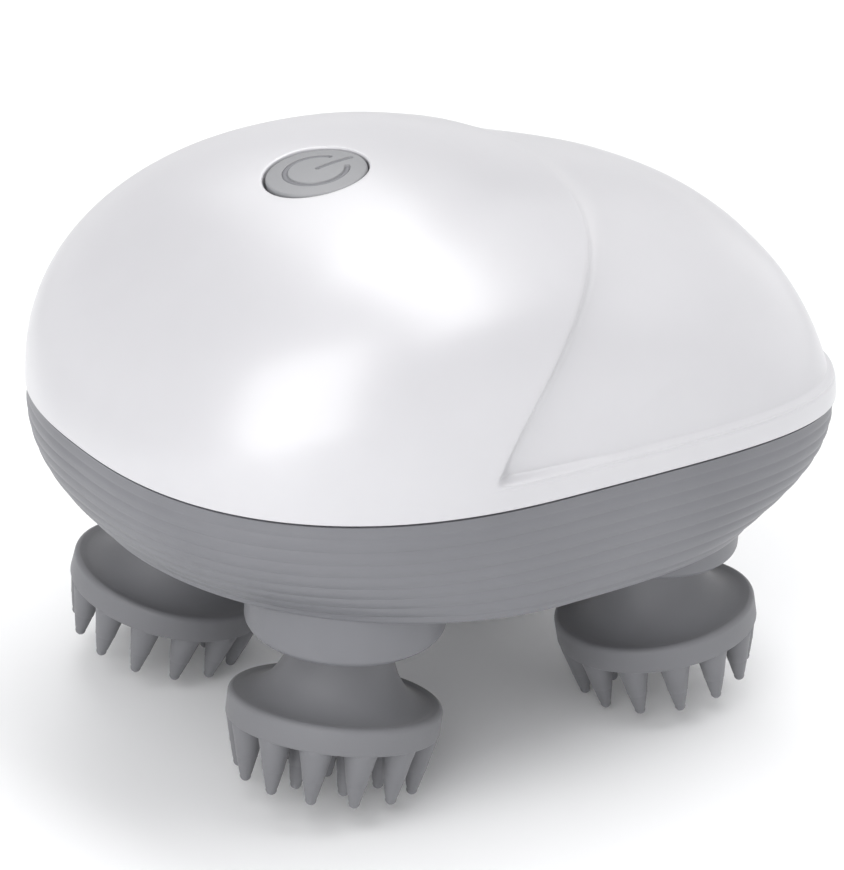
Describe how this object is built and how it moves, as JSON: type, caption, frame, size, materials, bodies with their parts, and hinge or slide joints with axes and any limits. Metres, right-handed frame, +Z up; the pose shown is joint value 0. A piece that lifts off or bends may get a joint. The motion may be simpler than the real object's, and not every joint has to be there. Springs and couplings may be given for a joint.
{
  "type": "scalp massager brush",
  "caption": "Egg-shaped hand-held electric scalp massager with a white domed cover, a grey lower shell, a power button and splayed spinning silicone finger heads.",
  "frame": {"origin": "centre of the outline at the level of the lowest fingertips, where the brush stands on a surface", "axes": "+Z up, +X along the body to the tail end with the grip scoops, +Y to the brush's left; the body is alike on both sides of the XZ plane"},
  "size_m": [0.116, 0.0932, 0.089],
  "materials": {
    "cover": "satin white moulded plastic with a soft gloss",
    "shell": "satin mid-grey moulded plastic",
    "silicone": "matte mid-grey silicone",
    "button": "satin light-grey soft-touch plastic",
    "seal": "matte black rubber",
    "chassis": "matte dark grey plastic",
    "gear": "unpainted acetal",
    "steel": "bright steel",
    "contact": "bright brass",
    "cell": "shrink wrap",
    "board": "green solder mask",
    "switch": "black moulded plastic"
  },
  "bodies": {
    "housing": {"top_cover": "cover", "lower_shell": "shell", "seal_ring": "seal", "charge_plate": "chassis", "charge_pin_1": "contact", "charge_pin_2": "contact", "chassis_plate": "chassis", "motor": "steel", "motor_bracket": "chassis", "battery_cell": "cell", "battery_cradle": "chassis", "circuit_board": "board", "tact_switch": "switch", "button_gasket": "seal", "drive_axle": "steel", "case_screw_1": "steel", "case_screw_2": "steel", "case_screw_3": "steel", "case_screw_4": "steel", "board_screw_1": "steel", "board_screw_2": "steel", "board_screw_3": "steel", "head_bush_front_right": "contact", "head_seal_front_right": "seal", "head_bush_front_left": "contact", "head_seal_front_left": "seal", "head_bush_rear_right": "contact", "head_seal_rear_right": "seal", "head_bush_rear_left": "contact", "head_seal_rear_left": "seal"},
    "button": {"power_button": "button"},
    "drive": {"sun_gear": "gear", "drive_wheel": "gear"},
    "rotor": {"motor_shaft": "steel", "motor_pinion": "contact"},
    "head_front_right": {"head_gear_front_right": "gear", "head_shaft_front_right": "steel", "massage_head_front_right": "silicone", "head_hub_front_right": "chassis"},
    "head_front_left": {"head_gear_front_left": "gear", "head_shaft_front_left": "steel", "massage_head_front_left": "silicone", "head_hub_front_left": "chassis"},
    "head_rear_right": {"head_gear_rear_right": "gear", "head_shaft_rear_right": "steel", "massage_head_rear_right": "silicone", "head_hub_rear_right": "chassis"},
    "head_rear_left": {"head_gear_rear_left": "gear", "head_shaft_rear_left": "steel", "massage_head_rear_left": "silicone", "head_hub_rear_left": "chassis"}
  },
  "joints": [
    {"name": "button_press", "type": "slide", "parent": "housing", "child": "button", "axis": [0.2079, 0, -0.9781], "range_m": [0, 0.001], "stiffness_N_per_m": 2000},
    {"name": "head_front_left_spin", "type": "hinge", "parent": "housing", "child": "head_front_left", "pos_m": [-0.0257, 0.02145, 0.02697], "axis": [0.1711, -0.1325, 0.9763], "continuous": true},
    {"name": "head_front_right_spin", "type": "hinge", "parent": "housing", "child": "head_front_right", "pos_m": [-0.0257, -0.02145, 0.02697], "axis": [0.1711, 0.1325, 0.9763], "continuous": true},
    {"name": "head_rear_right_spin", "type": "hinge", "parent": "housing", "child": "head_rear_right", "pos_m": [0.0297, -0.02145, 0.02697], "axis": [-0.1711, 0.1325, 0.9763], "continuous": true},
    {"name": "head_rear_left_spin", "type": "hinge", "parent": "housing", "child": "head_rear_left", "pos_m": [0.0297, 0.02145, 0.02697], "axis": [-0.1711, -0.1325, 0.9763], "continuous": true},
    {"name": "drive_spin", "type": "hinge", "parent": "housing", "child": "drive", "pos_m": [0.002, 0, 0.04047], "axis": [0, 0, 1], "continuous": true},
    {"name": "motor_spin", "type": "hinge", "parent": "housing", "child": "rotor", "pos_m": [0.02725, 0, 0.04697], "axis": [0, 0, 1], "continuous": true}
  ],
  "couplings": [
    {"joint": "head_front_right_spin", "follows": "head_front_left_spin", "ratio": 1},
    {"joint": "head_rear_right_spin", "follows": "head_front_left_spin", "ratio": 1},
    {"joint": "head_rear_left_spin", "follows": "head_front_left_spin", "ratio": 1},
    {"joint": "drive_spin", "follows": "head_front_left_spin", "ratio": -0.66667},
    {"joint": "motor_spin", "follows": "head_front_left_spin", "ratio": 2.6667}
  ]
}
